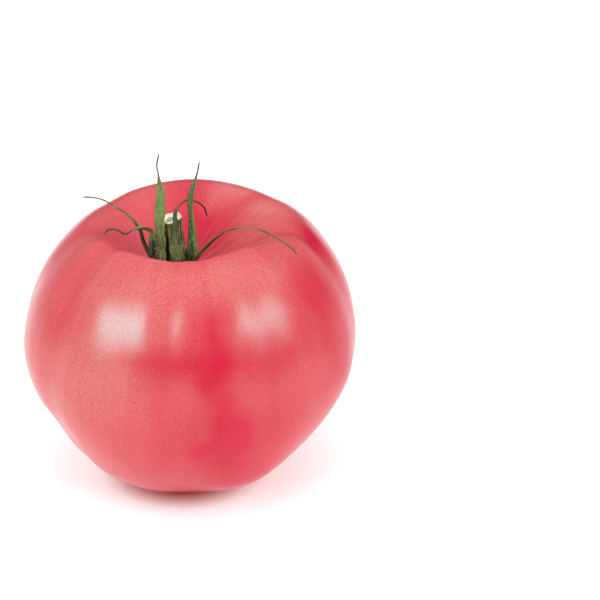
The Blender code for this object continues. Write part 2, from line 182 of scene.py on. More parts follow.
# Sepals: facing is the azimuth that the outer face looks at, widths are the blade's widths at
# shares of the spine's length, and the spine's points go right, back and up from the middle of
# the disc's underside. dark and dry are how deep the green and how withered the blade is along
# it; dark also holds painted shade and light, darker where a blade lies in shade and lighter where
# it turns to the light. side is painted shade: how much darker the edge to the right (or, below
# nothing, to the left) is.
# THREAD is the width of a dried tip.
THREAD = 0.5
Sepal = namedtuple("Sepal", "name facing widths dark dry side spine")
SEPALS = (
    Sepal("front", 5, ((0.0, 4.4), (0.18, 4.2), (0.36, 1.8), (0.46, 1.2), (0.54, THREAD)),
          ((0.0, 1.0), (0.2, 0.5), (0.3, 0.7), (0.5, 1.0)),
          ((0.0, 0.1), (0.3, 0.35), (0.5, 0.7), (0.7, 0.8)), 0.2, (
              (1.6, -4.8, 0.8), (1.7, -5.4, 3.8), (1.5, -5.0, 8.6), (1.2, -4.5, 14.6),
              (1.2, -4.0, 19.6), (3.1, -1.2, 21.4), (5.5, 3.3, 20.1), (8.5, 7.6, 15.8),
              (9.8, 9.2, 11.4))),
    Sepal("front_left", -22, ((0.0, 3.0), (0.22, 2.9), (0.52, 3.5), (0.66, 2.6), (0.84, THREAD)),
          ((0.0, 1.0), (0.14, 0.45), (0.24, 0.75), (0.36, 0.2), (0.7, 0.15), (0.85, 0.6)),
          ((0.0, 0.0), (0.7, 0.0), (0.86, 0.8), (1.0, 1.0)), -0.2, (
              (-3.1, -4.3, 0.8), (-3.5, -4.6, 4.2), (-3.6, -4.1, 9.7), (-3.7, -3.4, 17.4),
              (-3.2, -3.0, 25.4), (-3.5, -3.2, 31.4), (-3.8, -3.0, 34.8), (-3.1, -2.0, 38.0))),
    Sepal("left", -36, ((0.0, 2.8), (0.26, 3.3), (0.4, 1.9), (0.55, 1.6), (0.66, THREAD)),
          ((0.0, 1.0), (0.26, 0.95), (0.34, 0.0), (0.5, 0.15), (0.62, 0.5), (0.7, 1.0)),
          ((0.0, 0.35), (0.26, 0.3), (0.34, 0.0), (0.6, 0.1), (0.7, 0.85)), 0.1, (
              (-5.0, -1.2, 0.8), (-6.0, -1.6, 2.4), (-6.1, -1.4, 8.9), (-6.3, -1.3, 12.2),
              (-8.3, -2.4, 14.0), (-11.0, -5.4, 15.0), (-13.2, -8.5, 15.1), (-15.4, -9.8, 17.3),
              (-17.8, -10.7, 17.7), (-19.2, -11.1, 16.3))),
    Sepal("back_left", -125, ((0.0, 2.4), (0.2, 1.6), (0.5, 1.0), (0.65, THREAD)),
          ((0.0, 0.9), (0.3, 1.0), (0.45, 0.4), (1.0, 0.3)),
          ((0.0, 0.1), (0.35, 0.3), (0.6, 0.6), (1.0, 0.9)), 0.0, (
              (-4.2, 2.8, 0.8), (-6.8, 3.0, 1.4), (-9.0, 3.3, 6.0), (-10.3, 4.0, 10.5),
              (-14.3, 5.1, 14.9), (-20.2, 8.3, 17.1), (-23.8, 10.7, 17.1), (-27.3, 12.5, 16.2))),
    Sepal("back", 172, ((0.0, 3.0), (0.5, 2.2), (0.9, THREAD)),
          ((0.0, 0.4), (1.0, 0.4)), ((0.0, 0.0), (0.7, 0.0), (1.0, 0.7)), 0.1, (
              (0.2, 4.8, 0.8), (0.1, 6.4, 1.6), (-0.3, 8.2, 3.6), (-0.8, 10.2, 5.6),
              (-1.2, 11.8, 7.0))),
    Sepal("right", 42, ((0.0, 3.2), (0.14, 4.3), (0.5, 2.0), (0.68, 2.4), (0.92, THREAD)),
          ((0.0, 1.0), (0.16, 0.5), (0.3, 0.5), (0.55, 0.35), (0.75, 0.5), (1.0, 1.0)),
          ((0.0, 0.0), (0.8, 0.0), (0.95, 0.8)), -0.8, (
              (5.0, -1.0, 0.8), (6.0, -1.3, 3.0), (5.9, -0.2, 9.0), (5.6, 1.2, 15.2),
              (5.4, 1.7, 20.4), (6.3, 2.0, 24.9), (7.4, 2.8, 29.2), (8.1, 4.0, 32.4))),
    Sepal("front_right", 62, ((0.0, 2.8), (0.15, 2.0), (0.32, 1.4), (0.48, THREAD)),
          ((0.0, 1.0), (0.2, 0.7), (0.4, 0.9), (0.6, 0.4), (1.0, 0.6)),
          ((0.0, 0.0), (0.2, 0.3), (0.45, 0.6), (1.0, 0.75)), 0.6, (
              (4.3, -2.7, 0.8), (5.9, -3.4, 3.2), (9.4, -4.6, 8.6), (14.2, -6.8, 14.0),
              (18.9, -8.8, 17.0), (24.5, -11.0, 18.0), (29.8, -13.0, 16.6), (34.2, -14.4, 14.2),
              (36.4, -15.6, 12.3))),
)
SEPAL_STATIONS = 150
SEPAL_COLUMNS = 28
# Fold along the middle as a share of the half width, thickness of the edges, height of the midrib
# and of the veins, and how far the flare at the root reaches
SEPAL_KEEL = 0.28
SEPAL_EDGE_THICKNESS = 0.3
SEPAL_MIDRIB = 0.3
SEPAL_VEINS = 0.05
ROOT_FLARE = 2.4
# Small kinks of the thin parts, and waves of the edges as a share of the width
KINK_HEIGHT, KINK_SEED, KINK_WAVES, KINK_LENGTHS = 0.1, 100, 6, (3.0, 9.0)
EDGE_SHARE, EDGE_SEED, EDGE_WAVES, EDGE_LENGTHS = 0.07, 300, 5, (2.0, 5.0)

# Camera: what it looks at, and the width of its sensor in millimetres
CAMERA_AIM = Vector((0.03584, 0.00472, 0.05631))
CAMERA_SENSOR = 36.0


def hex_colour(code):
    """Linear red, green, blue and alpha of an sRGB colour written like #e33150."""
    shares = [int(code[i:i + 2], 16) / 255 for i in (1, 3, 5)]
    return [s / 12.92 if s <= 0.04045 else ((s + 0.055) / 1.055) ** 2.4 for s in shares] + [1.0]


def ease(x):
    """Eases from 0 to 1: three times the square of x less twice its cube."""
    x = np.clip(x, 0.0, 1.0)
    return x * x * (3 - 2 * x)


def along(table, x):
    """Reads a table of (place, value) pairs at x, easing smoothly from each pair to the next."""
    places, values = np.array(table, dtype=float).T
    i = np.clip(np.searchsorted(places, x, side="right") - 1, 0, len(places) - 2)
    share = (x - places[i]) / (places[i + 1] - places[i])
    return values[i] + (values[i + 1] - values[i]) * ease(share)


def bell(centre, width, angle):
    """A bump of height 1: e to the minus square of an angle's way from the centre over the width."""
    return np.exp(-(((angle - centre + 180) % 360 - 180) / width) ** 2)


def spots(table, azimuth, rise):
    """The sum of a table's spots, each its amount times a bell over azimuth and one over rise."""
    return sum(amount * bell(turn, width, azimuth) * bell(up, height, rise)
               for turn, width, up, height, amount in table)


def run_lengths(points):
    """Length of the line through the points, up to each of them."""
    return np.concatenate(([0.0], np.cumsum(np.linalg.norm(np.diff(points, axis=0), axis=1))))


def even_steps(points, count):
    """count + 1 points spaced evenly by length along the line through points."""
    run = run_lengths(points)
    want = np.linspace(0.0, run[-1], count + 1)
    return np.stack([np.interp(want, run, points[:, k]) for k in range(points.shape[1])], axis=1)


def smooth_curve(points, samples):
    """Points on the curve that passes smoothly through all the given ones (Catmull-Rom)."""
    p = np.array(points, dtype=float)
    p = np.concatenate(([2 * p[0] - p[1]], p, [2 * p[-1] - p[-2]]))
    place = np.linspace(0.0, len(points) - 1 - 1e-9, samples)
    i = place.astype(int)
    f = (place - i)[:, None]
    p0, p1, p2, p3 = p[i], p[i + 1], p[i + 2], p[i + 3]
    return 0.5 * (2 * p1 + (p2 - p0) * f + (2 * p0 - 5 * p1 + 4 * p2 - p3) * f ** 2
                  + (3 * p1 - p0 - 3 * p2 + p3) * f ** 3)


def unit(vectors):
    """Vectors over their lengths."""
    return vectors / np.linalg.norm(vectors, axis=-1, keepdims=True)


def waves(points, seed, count, lengths):
    """Smooth unevenness: the sum of many sine waves in random directions, evened out so that it
    stays at about -1 to 1."""
    draw = np.random.default_rng(seed)
    heading = unit(draw.normal(size=(count, 3)))
    steps = 2 * np.pi / draw.uniform(*lengths, size=(count, 1))
    start = draw.uniform(0, 2 * np.pi, size=count)
    return np.sin(points @ (heading * steps).T + start).sum(axis=-1) * math.sqrt(2 / count)


def closed_tube(rings, facts):
    """Points, faces and facts of a closed surface through a grid of points.

    rings has a row for each ring and a column for each place round it, and the first and last ring
    are closed by a fan of triangles to their middle. facts maps a name to a value for each place.
    """
    rows, columns = rings.shape[:2]
    points = np.concatenate((rings.reshape(-1, 3), rings[[0, -1]].mean(axis=1)))
    values = {}
    for name, fact in facts.items():
        poles = fact[[0, -1]].mean(axis=1).reshape(2, -1)
        values[name] = np.concatenate((fact.reshape(rows * columns, -1), poles))
    low = np.arange((rows - 1) * columns).reshape(rows - 1, columns)
    beside = np.roll(low, -1, axis=1)
    quads = np.stack((low, beside, beside + columns, low + columns), axis=-1).reshape(-1, 4)
    first = np.arange(columns)
    last = first + (rows - 1) * columns
    foot, top = rows * columns, rows * columns + 1
    fans = [np.stack((np.roll(first, -1), first, np.full(columns, foot)), axis=-1),
            np.stack((last, np.roll(last, -1), np.full(columns, top)), axis=-1)]
    return points, [quads] + fans, values


def joined(parts):
    """Several surfaces from closed_tube as one."""
    faces, start = [], 0
    for points, groups, _ in parts:
        faces += [group + start for group in groups]
        start += len(points)
    names = parts[0][2]
    values = {name: np.concatenate([part[2][name] for part in parts]) for name in names}
    return np.concatenate([part[0] for part in parts]), faces, values


def add_piece(name, surface, material, node):
    """Puts a surface in millimetres into a smooth mesh, and lets it stand for a CAD node."""
    points, groups, values = surface
    mesh = bpy.data.meshes.new(name)
    sizes = np.concatenate([np.full(len(group), group.shape[1]) for group in groups])
    corners = np.concatenate([group.ravel() for group in groups])
    mesh.vertices.add(len(points))
    mesh.vertices.foreach_set("co", (points * MM).astype(np.float32).ravel())
    mesh.loops.add(len(corners))
    mesh.loops.foreach_set("vertex_index", corners.astype(np.int32))
    mesh.polygons.add(len(sizes))
    mesh.polygons.foreach_set("loop_start", (np.cumsum(sizes) - sizes).astype(np.int32))
    for fact, value in values.items():
        kind, field = ("FLOAT_VECTOR", "vector") if value.shape[1] == 3 else ("FLOAT", "value")
        held = mesh.attributes.new(fact, kind, "POINT").data
        held.foreach_set(field, value.astype(np.float32).ravel())
    mesh.update(calc_edges=True)
    mesh.validate()
    mesh.shade_smooth()
    mesh.materials.append(material)
    piece = bpy.data.objects.new(name, mesh)
    bpy.context.scene.collection.objects.link(piece)
    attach(piece, "root")
    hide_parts(node)


def set_inputs(node, inputs):
    """Gives inputs of a node their values, or links them to outputs of other nodes."""
    for name, value in inputs.items():
        if isinstance(value, bpy.types.NodeSocket):
            node.id_data.links.new(value, node.inputs[name])
        else:
            node.inputs[name].default_value = value


def add_node(tree, kind, settings=None, inputs=None):
    """Adds a shader node with its settings and inputs, and returns its outputs."""
    node = tree.nodes.new("ShaderNode" + kind)
    for name, value in (settings or {}).items():
        setattr(node, name, value)
    set_inputs(node, inputs or {})
    return node.outputs


def blank_material(name):
    """A new material, add_node for its tree, and its shader."""
    material = bpy.data.materials.new(name)
    material.use_nodes = True
    tree = material.node_tree
    return material, partial(add_node, tree), tree.nodes["Principled BSDF"]


# Sockets of the Mix node when it mixes colours
FACTOR, FIRST, SECOND, MIXED = 0, 6, 7, 2
COLOURS = {"data_type": "RGBA"}
SMOOTH = {"interpolation_type": "SMOOTHSTEP"}
WHITE_COLOUR = (1.0, 1.0, 1.0, 1.0)

# Sizes of the materials' patterns as they are drawn, and the colours that aren't settings
MOTTLE_SIZE, FLECK_SIZE, CORK_GRAIN, HAIR_SIZE, WOOD_GRAIN = 14, 0.5, 0.9, 0.5, 0.6
CORK_DARK, CORK_LIGHT, WELL_PAINTED_LIGHT_RED = "#5d4a2a", "#b08f5c", "#e65a68"
HAIR_PALE, WITHERED_DARK = "#b8c298", "#2e2618"
RIDGE_GREEN, WOOD_PALE, CORE_GREEN = "#7c8a46", "#ddd2b0", "#8fa377"
WAX_ROUGHNESS, CORK_ROUGHNESS, SKIN_IOR = 0.21, 0.8, 1.34
# Leaf and bark are as matt as each other
PLANT_SHEEN = {"Roughness": 0.7, "Specular IOR Level": 0.15}


def skin_material(fruit):
    """Tomato skin: a waxed cuticle over pink flesh. It mirrors softly, and its red has broad
    mottles, streaks and pale flecks. Its pale haze is waxy bloom and painted reflections, with
    painted shade in grooves, basin and creases and painted light on the basin's left wall."""
    material, add, shader = blank_material("waxed_tomato_skin")
    place = add("TexCoord")["Object"]
    bloom, cork, well, crest = (
        add("Attribute", {"attribute_name": name})["Fac"]
        for name in ("bloom", "cork", "well", "crest"))
    # Ripening mottles are about 14 mm across, between a deeper and a lighter red
    mottles = add("TexNoise", None, {
        "Vector": place, "Scale": 1 / (MOTTLE_SIZE * MM), "Detail": 2.0})["Fac"]
    share = add("MapRange", SMOOTH, {
        "Value": mottles, "From Min": 0.35, "From Max": 0.65})["Result"]
    red = add("Mix", COLOURS, {
        FACTOR: share, FIRST: fruit.ripe_colour, SECOND: fruit.deep_colour})[MIXED]
    # The pale haze is waxy bloom and painted reflections, broken up by streaks that fan out from the
    # basin and by lenticel flecks, which are 0.1 to 0.2 mm across and drawn at 0.5 mm so that they
    # show
    flow = add("Attribute", {"attribute_name": "flow"})["Vector"]
    streaks = add("TexNoise", None, {
        "Vector": flow, "Scale": 1.0, "Detail": 3.0, "Roughness": 0.6})["Fac"]
    flecks = add("TexNoise", None, {
        "Vector": place, "Scale": 1 / (FLECK_SIZE * MM), "Detail": 1.0})["Fac"]
    broken = add("MapRange", None, {
        "Value": flecks, "From Min": 0.3, "From Max": 0.7, "To Min": 0.62,
        "To Max": 1.2})["Result"]
    drawn = add("MapRange", None, {
        "Value": streaks, "From Min": 0.35, "From Max": 0.65, "To Min": 0.9,
        "To Max": 1.08})["Result"]
    haze = add("Math", {"operation": "MULTIPLY"}, {0: bloom, 1: broken})[0]
    haze = add("Math", {"operation": "MULTIPLY", "use_clamp": True}, {0: haze, 1: drawn})[0]
    # Cork round the stem's seat and on the blossom scar is tan, dry and finely cracked
    grain = add("TexNoise", None, {
        "Vector": place, "Scale": 1 / (CORK_GRAIN * MM), "Detail": 3.0})["Fac"]
    cork_colour = add("Mix", COLOURS, {
        FACTOR: grain, FIRST: hex_colour(CORK_DARK), SECOND: hex_colour(CORK_LIGHT)})[MIXED]
    # Painted light: skin on the basin's left wall is a lighter red, where it lies in shade
    colour = red
    for layer, tint in ((haze, fruit.pale_colour), (cork, cork_colour), (well, hex_colour(WELL_PAINTED_LIGHT_RED))):
        colour = add("Mix", COLOURS, {FACTOR: layer, FIRST: colour, SECOND: tint})[MIXED]
    # The wax is smooth, but matt along two crests, and cork is rough
    rough = add("MapRange", None, {
        "Value": cork, "To Min": WAX_ROUGHNESS, "To Max": CORK_ROUGHNESS})["Result"]
    rough = add("Math", {"operation": "MULTIPLY_ADD"}, {0: crest, 1: MATT_ROUGHNESS, 2: rough})[0]
    relief = add("Bump", None, {
        "Strength": 0.12, "Distance": 0.1 * MM, "Height": flecks})["Normal"]
    set_inputs(shader, {
        "Base Color": colour, "Roughness": rough, "IOR": SKIN_IOR, "Normal": relief})
    return material


def sepal_material(calyx):
    """Leaf of the calyx: matt green with fine hairs, darker blotches, veins and withered tips, and
    painted shade and light carried by the dark attribute.
    """
    material, add, shader = blank_material("hairy_tomato_leaf")
    place = add("TexCoord")["Object"]
    dark, dry = (
        add("Attribute", {"attribute_name": name})["Fac"]
        for name in ("dark", "dry"))
    blade = add("Attribute", {"attribute_name": "blade"})["Vector"]
    # Veins and folds run along the blade, about 0.5 mm apart
    streaks = add("TexNoise", None, {
        "Vector": blade, "Scale": 1.0, "Detail": 2.0, "Roughness": 0.6})["Fac"]
    # Hairs and glands are 0.05 mm across, drawn as a grain of 0.5 mm so that they show
    grain = add("TexNoise", None, {
        "Vector": place, "Scale": 1 / (HAIR_SIZE * MM), "Detail": 2.0})["Fac"]
    uneven = add("Math", {"operation": "ADD"}, {0: streaks, 1: grain})[0]
    lift = add("MapRange", None, {
        "Value": uneven, "From Min": 0.7, "From Max": 1.3, "To Min": -0.8,
        "To Max": 0.8})["Result"]
    # dark is deeper green and also painted shade and light on the blades
    deep = add("Math", {"operation": "ADD", "use_clamp": True}, {0: dark, 1: lift})[0]
    green = add("Mix", COLOURS, {
        FACTOR: deep, FIRST: calyx.fresh_colour, SECOND: calyx.deep_colour})[MIXED]
    hairs = add("MapRange", None, {
        "Value": grain, "From Min": 0.54, "From Max": 0.68, "To Max": 0.6})["Result"]
    green = add("Mix", COLOURS, {
        FACTOR: hairs, FIRST: green, SECOND: hex_colour(HAIR_PALE)})[MIXED]
    brown = add("Mix", COLOURS, {
        FACTOR: deep, FIRST: calyx.dry_colour, SECOND: hex_colour(WITHERED_DARK)})[MIXED]
    colour = add("Mix", COLOURS, {FACTOR: dry, FIRST: green, SECOND: brown})[MIXED]
    relief = add("Bump", None, {
        "Strength": 0.5, "Distance": 0.15 * MM, "Height": uneven})["Normal"]
    set_inputs(shader, {"Base Color": colour, "Normal": relief, **PLANT_SHEEN})
    return material


def bark_material(stem):
    """Cut stalk: matt green bark with brown streaks and painted shade at its foot, and a pale woody
    cut with a green core.
    """
    material, add, shader = blank_material("cut_tomato_stalk")
    place = add("TexCoord")["Object"]
    grain = add("Attribute", {"attribute_name": "grain"})["Vector"]
    cut, core, above, ridge = (
        add("Attribute", {"attribute_name": name})["Fac"]
        for name in ("cut", "core", "above", "ridge"))
    # Ridges and furrows of the bark, about 0.6 mm wide and ten times as long
    streaks = add("TexNoise", None, {
        "Vector": grain, "Scale": 1.0, "Detail": 3.0, "Roughness": 0.6})["Fac"]
    share = add("MapRange", SMOOTH, {
        "Value": streaks, "From Min": 0.46, "From Max": 0.55})["Result"]
    # Painted shade: the foot is darker, down between the sepals
    share = add("Math", {"operation": "MULTIPLY"}, {0: share, 1: above})[0]
    colour = add("Mix", COLOURS, {
        FACTOR: share, FIRST: stem.streak_colour, SECOND: stem.bark_colour})[MIXED]
    # Pith and wood of the cut, with a grain of 0.6 mm
    fibres = add("TexNoise", None, {
        "Vector": place, "Scale": 1 / (WOOD_GRAIN * MM), "Detail": 2.0})["Fac"]
    wood = add("Mix", COLOURS, {
        FACTOR: fibres, FIRST: stem.cut_colour, SECOND: hex_colour(WOOD_PALE)})[MIXED]
    wood = add("Mix", COLOURS, {FACTOR: core, FIRST: wood, SECOND: hex_colour(CORE_GREEN)})[MIXED]
    # The backs of the ridges are greener
    for layer, tint in ((ridge, hex_colour(RIDGE_GREEN)), (cut, wood)):
        colour = add("Mix", COLOURS, {FACTOR: layer, FIRST: colour, SECOND: tint})[MIXED]
    relief = add("Bump", None, {
        "Strength": 0.5, "Distance": 0.2 * MM, "Height": streaks})["Normal"]
    set_inputs(shader, {"Base Color": colour, "Normal": relief, **PLANT_SHEEN})
    return material


def bare_profile(rise, fruit):
    """Radius and height at degrees above the widest ring, before the basin is pressed in."""
    sine = np.sin(np.radians(rise))
    shape = np.where(rise >= 0, np.array(DOME_SHAPE)[:, None], np.array(BELLY_SHAPE)[:, None])
    away = fruit.width / MM / 2 + shape[0] * sine ** 2 + shape[1] * sine ** 4 + shape[2] * sine ** 6
    return away * np.cos(np.radians(rise)), fruit.widest_height / MM + away * sine


def profile_ends(fruit):
    """Degrees above the widest ring of the edge of the flat spot, and of the seat's edge."""
    rises = np.linspace(-89.0, 89.0, 20001)
    radius, height = bare_profile(rises, fruit)
    resting = np.interp(0.0, height[rises < 0], rises[rises < 0])
    upper = rises > 45
    seated = np.interp(-fruit.seat_radius / MM, -radius[upper], rises[upper])
    return resting, seated


def profile(rise, azimuth, fruit, seated):
    """Radius and height with the basin pressed in, by a share that dies away from the seat."""
    shape = rise.shape
    radius, height = (part.reshape(shape) for part in bare_profile(rise.ravel(), fruit))
    back = ease(0.8 * (1 - np.cos(np.radians(azimuth))))
    reach = FRONT_REACH + (BACK_REACH - FRONT_REACH) * back
    beyond = np.maximum(0.0, radius - fruit.seat_radius / MM) / reach
    pressed = bare_profile(np.array([seated]), fruit)[1][0] - fruit.seat_height / MM
    return radius, height - np.where(rise > 0, pressed * np.exp(-beyond ** BASIN_STEEPNESS), 0.0)


def ring_centre(radius, height, fruit, flat):
    """Where the middle of a ring is: the body leans, and the basin is off centre."""
    full = fruit.width / MM / 2
    low = BODY_CENTRE * ((radius ** 2 - flat ** 2) / (full ** 2 - flat ** 2))[..., None]
    inward = np.exp(-((radius - fruit.seat_radius / MM) / SHIFT_REACH) ** 2)[..., None]
    above = (height - fruit.widest_height / MM)[..., None]
    high = (BODY_CENTRE + DOME_LEAN * above) * (1 - inward) + SEAT_CENTRE * inward
    return np.where(above < 0, low, high)


def groove_depth(azimuth, rise):
    """How far the grooves press the skin in: each is a trough down a line of azimuth."""
    upper = along(GROOVE_STRENGTH, rise)
    lower = np.exp(-((rise - LOW_MIDDLE) / LOW_SPREAD) ** 2)
    return sum(depth * bell(turn, width, azimuth) * (upper + low * lower)
               for turn, depth, width, low in GROOVES)


def fruit_surface(fruit):
    """The skin, as rings up a profile: circles about a leaning middle, pressed in square to the
    profile by the grooves, dents, creases and a slight unevenness. The flat spot with its scar
    closes it below and the seat above."""
    resting, seated = profile_ends(fruit)
    fine = np.linspace(resting, seated, PROFILE_SAMPLES)
    run = run_lengths(np.stack(profile(fine, 90.0, fruit, seated), axis=1))
    rises = np.interp(np.linspace(0, run[-1], FRUIT_ROWS), run, fine)
    azimuths = np.linspace(0, 360, FRUIT_COLUMNS, endpoint=False)
    rise, azimuth = np.meshgrid(rises, azimuths, indexing="ij")
    radius, height = profile(rise, azimuth, fruit, seated)
    ahead = profile(np.minimum(rise + SLOPE_STEP, seated), azimuth, fruit, seated)
    behind = profile(np.maximum(rise - SLOPE_STEP, resting), azimuth, fruit, seated)
    slope = unit(np.stack((ahead[0] - behind[0], ahead[1] - behind[1]), axis=-1))
    fade = ease((rise - resting) / END_FADE) * ease((seated - rise) / END_FADE)
    grooves = groove_depth(azimuth, rise)
    dents = spots(DENTS, azimuth, rise)
    turn = np.radians(azimuth)
    crowding = 2.2 * np.sin(3 * turn) + 1.7 * np.sin(7 * turn + 1)
    crease = (0.5 + 0.5 * np.cos(CREASES * turn + crowding)) ** 2
    creases = CREASE_DEPTH * crease * along(CREASE_STRENGTH, rise)
    rough = np.stack((radius * np.sin(turn), -radius * np.cos(turn), height), axis=-1)
    uneven = WAVE_HEIGHT * waves(rough, SKIN_SEED, WAVES, WAVE_LENGTHS)
    pressed = fade * (grooves + dents + creases + uneven)
    across = radius - slope[..., 1] * pressed
    depth = fruit.depth / fruit.width
    centre = ring_centre(radius, height, fruit, radius[0, 0])
    rings = np.stack((centre[..., 0] + across * np.sin(turn),
                      centre[..., 1] - across * np.cos(turn) * depth,
                      height + slope[..., 0] * pressed), axis=-1)
    rings = np.concatenate((flat_spot(rings[0]), rings, seat_rings(rings[-1])))
    facts = skin_facts(rise, azimuth, rough, grooves, crease, rings.shape[:2])
    return closed_tube(rings, {**facts, "cork": skin_cork(rings, fruit)})


def skin_facts(rise, azimuth, rough, grooves, crease, shape):
    """Wax and painted light, the well's painted light, matt crests and streaks. Wax and painted light
    is a sum of spots warped by waves, less the painted shade that grooves, basin and creases take,
    and the streaks' pattern runs up the skin."""
    bloom, well, crest = (np.full(shape, even) for even in (EVEN_WAX_AND_PAINTED_LIGHT, 0.0, 0.0))
    skin = slice(FLAT_ROWS, -SEAT_ROWS)
    aside, up = (SPOT_DRIFT * waves(rough, SKIN_SEED + k, WAVES, SPOT_DRIFT_LENGTHS) for k in (1, 2))
    more = spots(WAX_AND_PAINTED_LIGHT_SPOTS, azimuth + aside, rise + up)
    # Painted shade: grooves, the basin and its creases get less of the pale haze
    recess_shade = GROOVE_PAINTED_SHADE * np.clip(grooves / DEEP_GROOVE, 0, 1)
    recess_shade = recess_shade + BASIN_PAINTED_SHADE * ease((rise - BASIN_RISE) / RISE_EASE)
    bloom[skin] += more - recess_shade - CREASE_PAINTED_SHADE * crease * along(CREASE_STRENGTH, rise)
    # Painted light on the basin's left wall, which lies in shade
    inside = ease((rise - WELL_RISE) / RISE_EASE)
    well[skin] = WELL_SHARE * bell(WELL_AZIMUTH, WELL_WIDTH, azimuth) * inside
    crest[skin] = spots(MATT_CRESTS, azimuth, rise)
    share = np.linspace(0, 1, shape[0])[:, None]
    wheel = np.radians(azimuth[:1])
    flow = np.stack((STREAK_TURN * np.cos(wheel) + 0 * share, STREAK_TURN * np.sin(wheel) + 0 * share,
                     STREAK_RISE * share + 0 * wheel), axis=-1)
    return {"bloom": np.clip(bloom, 0, 1), "well": well, "crest": np.clip(crest, 0, 1), "flow": flow}


def skin_cork(rings, fruit):
    """Cork about the middle of the seat, and on the blossom scar about that of the flat spot."""
    middle = np.append(SEAT_CENTRE, fruit.seat_height / MM)
    from_seat = np.linalg.norm(rings - middle, axis=-1)
    cork = 1 - ease((from_seat - CORK_RADII[0]) / (CORK_RADII[1] - CORK_RADII[0]))
    from_scar = np.linalg.norm(rings[:FLAT_ROWS, :, :2], axis=-1)
    cork[:FLAT_ROWS] = np.maximum(cork[:FLAT_ROWS], 1 - ease(from_scar / SCAR_RADIUS - 0.6))
    return cork


def flat_spot(edge):
    """Rings from the blossom scar out to the flat spot's edge, with the scar a little sunken."""
    rings = edge * np.linspace(POLE_SHARE, 1, FLAT_ROWS, endpoint=False)[:, None, None]
    away = np.linalg.norm(rings[..., :2], axis=-1)
    rings[..., 2] = SCAR_RISE * ease(1 - away / (2 * SCAR_RADIUS))
    return rings


def seat_rings(edge):
    """Rings from the seat's edge in to its middle, on one level."""
    share = np.linspace(1, POLE_SHARE, SEAT_ROWS + 1)[1:, None, None]
    return edge.mean(axis=0) * (1 - share) + edge * share


def disc_surface(base):
    """The calyx's disc: a turned outline whose radius swells a little towards each sepal."""
    outline = even_steps(smooth_curve(DISC_OUTLINE, 400), DISC_ROWS)[1:-1]
    turn = np.radians(np.linspace(0, 360, DISC_COLUMNS, endpoint=False))[None, :]
    radius, height = outline[:, 0][:, None], outline[:, 1][:, None]
    swell = sum(bell(s.facing, SWELL_WIDTH, np.degrees(turn)) for s in SEPALS)
    radius = radius * (1 - DISC_SWELL + DISC_SWELL * swell)
    lumps = DISC_LUMPS * np.cos(40 * turn + 3 * np.sin(5 * turn)) * ease(radius / 4 - 0.5)
    rings = np.stack((radius * np.sin(turn), -radius * np.cos(turn),
                      height + lumps * (height > 1)), axis=-1)
    dark, dry = (np.full(rings.shape[:2], even) for even in (DISC_DARK, DISC_DRY))
    return closed_tube(rings + base, {"dark": dark, "dry": dry, "blade": rings * 1.5})


def sepal_surface(sepal, index, base):
    """A blade along its spine: rings round a lens-shaped section that is folded along a midrib,
    wide where the table of widths says, wavy at its edges and flared at its root."""
    spine = even_steps(smooth_curve(sepal.spine, 1200), SEPAL_STATIONS)
    share = np.linspace(0, 1, SEPAL_STATIONS + 1)
    length = np.linalg.norm(np.diff(spine, axis=0), axis=1).sum()
    thin = ease(1 - along(sepal.widths, share) / 2.0)
    kinks = np.stack([waves(spine, KINK_SEED + 10 * index + k, KINK_WAVES, KINK_LENGTHS)
                      for k in range(3)], axis=1)
    free = thin * ease(share * 3) * ease((1 - share) * 8)
    spine = spine + kinks * KINK_HEIGHT * free[:, None]
    run = unit(np.gradient(spine, axis=0))
    facing = math.radians(sepal.facing)
    across = np.array((math.cos(facing), math.sin(facing), 0.0))
    side = unit(across - run * (run @ across)[:, None])
    out = np.cross(side, run)
    half = along(sepal.widths, share) / 2
    ripple = waves(spine * 1.3, EDGE_SEED + index, EDGE_WAVES, EDGE_LENGTHS)
    edge = 1 + EDGE_SHARE * ripple * ease(half - 0.4)
    root = np.exp(-(share * length / ROOT_FLARE) ** 2)
    tip = np.sqrt(np.clip((1 - share) * length / 1.2, 0.05, 1))
    half = half * edge * (1 + 0.3 * root) * tip
    leaf = ease(half / 0.5 - 0.6)
    around = np.radians(np.linspace(0, 360, SEPAL_COLUMNS, endpoint=False))[None, :]
    s, face = np.cos(around), np.sin(around)
    h, lf = half[:, None], leaf[:, None]
    thick = np.minimum(h, SEPAL_EDGE_THICKNESS / 2 + 0.1 * (1 - s ** 2) + 0.5 * root[:, None])
    fold = SEPAL_KEEL * h * lf * (1 - 2 * np.sqrt(s ** 2 + 0.03))
    midrib = SEPAL_MIDRIB * np.exp(-(s / 0.16) ** 2) * (face > 0) * face * lf * np.minimum(1, h / 1.2)
    veins = SEPAL_VEINS * np.cos(4.5 * np.pi * s) * lf * np.abs(face)
    lift = fold + face * thick + midrib + veins * np.sign(face)
    rings = spine[:, None] + side[:, None] * (s * h)[..., None] + out[:, None] * lift[..., None]
    pale_midrib = 0.25 * np.exp(-(s / 0.2) ** 2) * lf
    # Painted shade and light: the dark table along the blade, and side's darker edge
    dark = along(sepal.dark, share)[:, None] + sepal.side * 0.5 * s - pale_midrib
    dry = along(sepal.dry, share)[:, None] + 0 * s
    place = np.stack((s * h * 1.9 + 5 * index, face * 0.3 + 0 * h,
                      (share * length / 4)[:, None] + 0 * s), axis=-1)
    return closed_tube(rings + base, {"dark": np.clip(dark, 0, 1), "dry": dry, "blade": place})


